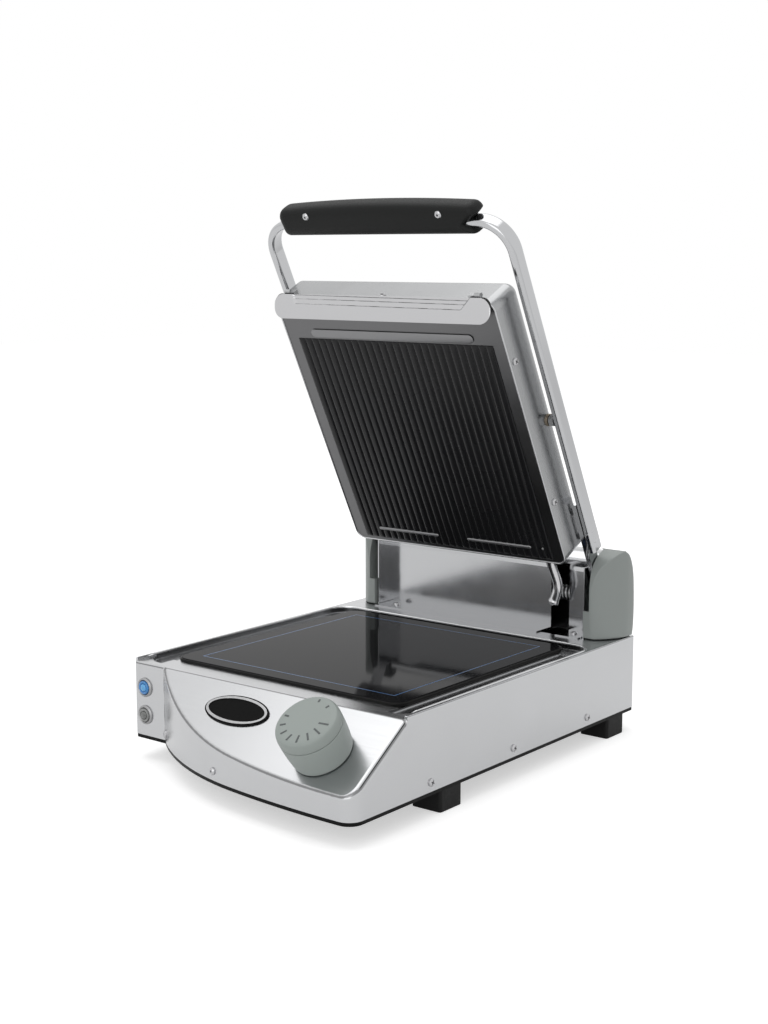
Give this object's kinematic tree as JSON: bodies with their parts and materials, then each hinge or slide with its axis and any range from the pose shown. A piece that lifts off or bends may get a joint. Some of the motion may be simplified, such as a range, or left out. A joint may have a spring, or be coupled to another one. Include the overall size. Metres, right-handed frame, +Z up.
{
  "type": "panini press",
  "caption": "Countertop panini press with a smooth lower glass plate, a ribbed upper plate on sprung arms, a bar grip, a front splash flap and a dial on a curved nose.",
  "frame": {"origin": "on the worktop, under the middle of the bounding box with the lid open", "axes": "+X to the right of someone facing the press, +Y to the back, +Z up"},
  "size_m": [0.335, 0.4761, 0.532],
  "materials": {
    "brushed_steel": "fine satin grain",
    "polished_steel": "bright, almost mirror polished",
    "chrome": "bright plating",
    "zinc_steel": "zinc plated, dull",
    "black_enamel": "black enamel, semi-matt",
    "black_rubber": "matt",
    "black_plastic": "matt, fine texture",
    "grey_plastic": "matt grey-green",
    "grey_cover": "satin light grey",
    "black_glass": "glass-ceramic, opaque black, high gloss",
    "badge_black": "gloss black, plain",
    "lens_blue": "translucent blue, gloss",
    "lens_grey": "translucent pale grey, gloss",
    "silicone_seal": "soft, matt",
    "insulation": "mineral wool, soft",
    "ceramic": "glazed ceramic, cream",
    "bronze": "sintered"
  },
  "bodies": {
    "base": {"badge_plate": "badge_black", "badge_ring": "chrome", "balance_spring_left": "zinc_steel", "balance_spring_right": "zinc_steel", "base_shell": "brushed_steel", "body_screws": "chrome", "bottom_pan": "black_enamel", "cable_gland": "black_plastic", "foot_front_left": "black_rubber", "foot_front_right": "black_rubber", "foot_rear_left": "black_rubber", "foot_rear_right": "black_rubber", "foot_screws": "zinc_steel", "gland_nut": "black_plastic", "heating_lamp_bezel": "chrome", "heating_lamp_lens": "lens_grey", "hinge_bracket_left": "zinc_steel", "hinge_bracket_right": "zinc_steel", "hinge_bushes": "bronze", "hinge_cover_left": "grey_cover", "hinge_cover_right": "grey_cover", "hinge_tower": "polished_steel", "lamp_holders": "black_plastic", "lower_glass": "black_glass", "lower_glass_seal": "silicone_seal", "lower_heater_tray": "zinc_steel", "lower_heating_coil": "zinc_steel", "lower_insulation": "insulation", "lower_probe": "chrome", "power_lamp_bezel": "chrome", "power_lamp_lens": "lens_blue", "terminal_block": "ceramic", "thermostat_body": "ceramic", "tower_screws": "chrome"},
    "arms": {"handle_tube": "polished_steel", "grip_front": "black_plastic", "grip_rear": "black_plastic", "grip_screws": "zinc_steel", "hinge_shaft": "zinc_steel", "arm_bolts": "zinc_steel", "pivot_studs": "zinc_steel", "arm_lever_left": "polished_steel", "arm_lever_right": "polished_steel"},
    "upper_plate": {"upper_casing": "polished_steel", "casing_screws": "chrome", "upper_frame": "polished_steel", "upper_glass_seal": "silicone_seal", "upper_glass": "black_glass", "glass_retainers": "polished_steel", "upper_heater_tray": "zinc_steel", "upper_insulation": "insulation", "upper_heating_coil": "zinc_steel", "upper_probe": "chrome", "conduit_elbow": "chrome", "flap_pins": "zinc_steel", "pivot_bushes": "bronze"},
    "flap": {"front_flap": "polished_steel"},
    "knob": {"knob_body": "grey_plastic", "knob_cap": "grey_plastic", "thermostat_shaft": "zinc_steel"}
  },
  "joints": [
    {"name": "lid_hinge", "type": "hinge", "parent": "base", "child": "arms", "pos_m": [0, 0.21152, 0.1355], "axis": [1, 0, 0], "range_deg": [0, 61]},
    {"name": "plate_tilt", "type": "hinge", "parent": "arms", "child": "upper_plate", "pos_m": [0, 0.1126, 0.32415], "axis": [1, 0, 0], "range_deg": [-1, 2]},
    {"name": "flap_hinge", "type": "hinge", "parent": "upper_plate", "child": "flap", "pos_m": [0, 0.01867, 0.44352], "axis": [1, 0, 0], "range_deg": [-90, 0]},
    {"name": "knob_turn", "type": "hinge", "parent": "base", "child": "knob", "pos_m": [0.1085, -0.19409, 0.0664], "axis": [0, -0.5664, 0.8241], "range_deg": [-300, 0]}
  ]
}
